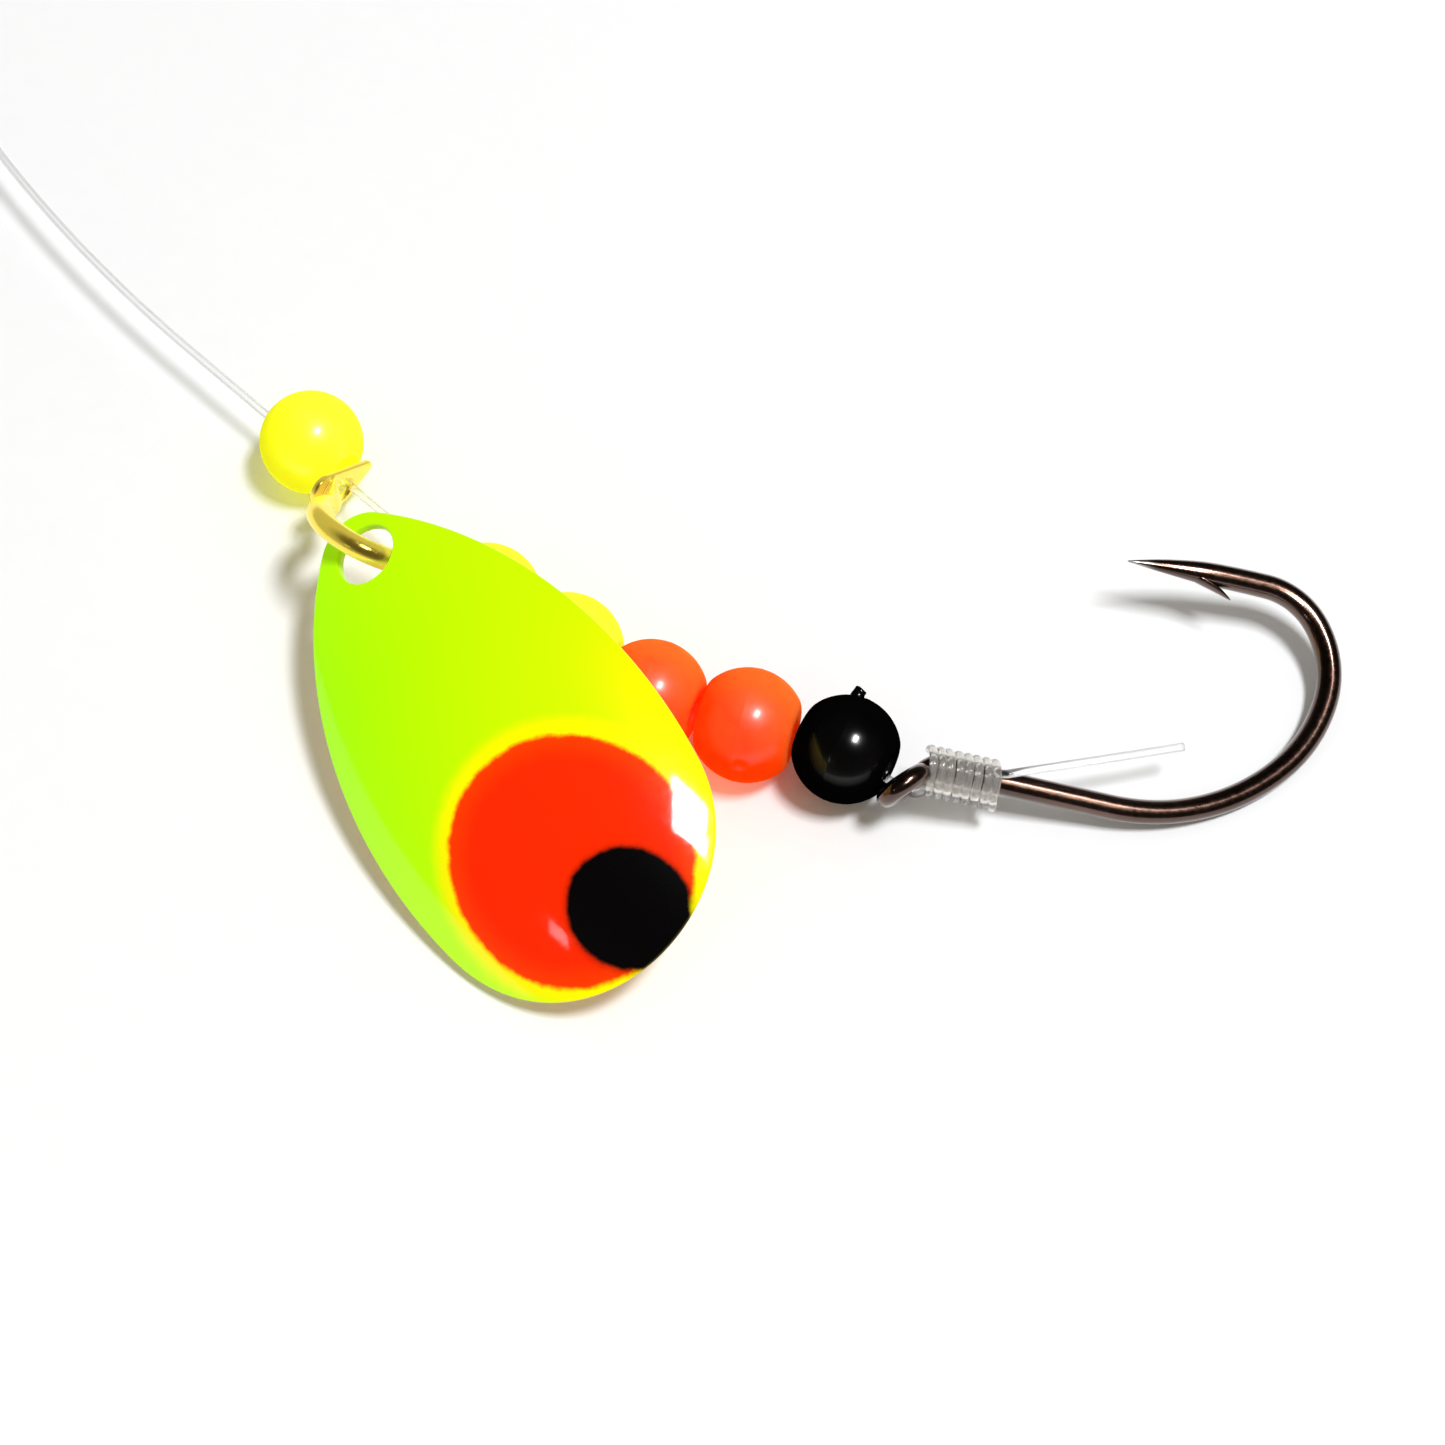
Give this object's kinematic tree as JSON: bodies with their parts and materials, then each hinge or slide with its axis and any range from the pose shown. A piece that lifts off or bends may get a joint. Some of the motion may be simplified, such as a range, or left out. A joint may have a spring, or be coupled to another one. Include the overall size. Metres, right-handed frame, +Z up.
{
  "type": "inline spinner",
  "caption": "Inline spinner rig: painted egg-shaped blade on a folded clevis, coloured bead body on a monofilament leader, and a snelled wide-gap hook.",
  "frame": {"origin": "centre of the cut face at the free end of the leader", "axes": "+X along the clevis's spin axis, towards the hook; +Z up, away from the surface the rig lies on, with the leader in the plane z = 0; +Y completes a right-handed set"},
  "size_m": [0.0849, 0.0383, 0.0087],
  "materials": {
    "monofilament": "clear nylon line",
    "chartreuse_bead": "translucent fluorescent, glossy",
    "orange_bead": "translucent fluorescent, glossy",
    "black_bead": "opaque, glossy",
    "clevis_brass": "bright plated",
    "blade_paint": "fluorescent gloss lacquer over plated brass",
    "spot_orange": "sprayed spot under clear lacquer",
    "spot_black": "sprayed spot under clear lacquer",
    "hook_black_nickel": "black nickel plated high carbon steel"
  },
  "bodies": {
    "leader": {"leader": "monofilament"},
    "leader_tail": {"leader_tail": "monofilament"},
    "head_bead": {"head_bead": "chartreuse_bead"},
    "clevis": {"clevis": "clevis_brass"},
    "blade": {"blade": "blade_paint", "blade_spot_orange": "spot_orange", "blade_spot_black": "spot_black"},
    "chartreuse_bead_front": {"chartreuse_bead_front": "chartreuse_bead"},
    "chartreuse_bead_rear": {"chartreuse_bead_rear": "chartreuse_bead"},
    "orange_bead_front": {"orange_bead_front": "orange_bead"},
    "orange_bead_rear": {"orange_bead_rear": "orange_bead"},
    "black_bead": {"black_bead": "black_bead"},
    "hook": {"hook": "hook_black_nickel", "snell_line": "monofilament", "snell_wraps": "monofilament", "tag_end": "monofilament"}
  },
  "joints": [
    {"name": "leader_tail_flex", "type": "hinge", "parent": "leader", "child": "leader_tail", "pos_m": [0.01143, -0.00365, 0], "axis": [0, 0, 1], "range_deg": [-25, 25]},
    {"name": "head_bead_slide", "type": "slide", "parent": "leader", "child": "head_bead", "axis": [-0.9937, 0.1123, 0], "range_m": [0, 0.01]},
    {"name": "clevis_spin", "type": "hinge", "parent": "leader", "child": "clevis", "pos_m": [0.04364, -0.00911, 0], "axis": [1, 0, 0], "continuous": true},
    {"name": "blade_swing", "type": "hinge", "parent": "clevis", "child": "blade", "pos_m": [0.04462, -0.01135, 0.00243], "axis": [0, -0.7361, -0.6769], "range_deg": [0, 75]},
    {"name": "chartreuse_bead_front_spin", "type": "hinge", "parent": "leader", "child": "chartreuse_bead_front", "pos_m": [0.05004, -0.00972, 0], "axis": [0.9981, -0.061, 0], "continuous": true},
    {"name": "chartreuse_bead_rear_spin", "type": "hinge", "parent": "leader", "child": "chartreuse_bead_rear", "pos_m": [0.05477, -0.00955, 0], "axis": [0.9966, 0.082, 0], "continuous": true},
    {"name": "orange_bead_front_spin", "type": "hinge", "parent": "leader", "child": "orange_bead_front", "pos_m": [0.05943, -0.00919, 0], "axis": [0.9754, 0.2206, 0], "continuous": true},
    {"name": "orange_bead_rear_spin", "type": "hinge", "parent": "leader", "child": "orange_bead_rear", "pos_m": [0.06386, -0.0077, 0], "axis": [0.9349, 0.3549, 0], "continuous": true},
    {"name": "black_bead_spin", "type": "hinge", "parent": "leader", "child": "black_bead", "pos_m": [0.06818, -0.00599, 0], "axis": [0.9871, 0.1598, 0], "continuous": true},
    {"name": "hook_flex", "type": "hinge", "parent": "leader", "child": "hook", "pos_m": [0.07147, -0.00611, 0], "axis": [0, 0, 1], "range_deg": [-6, 25]}
  ]
}
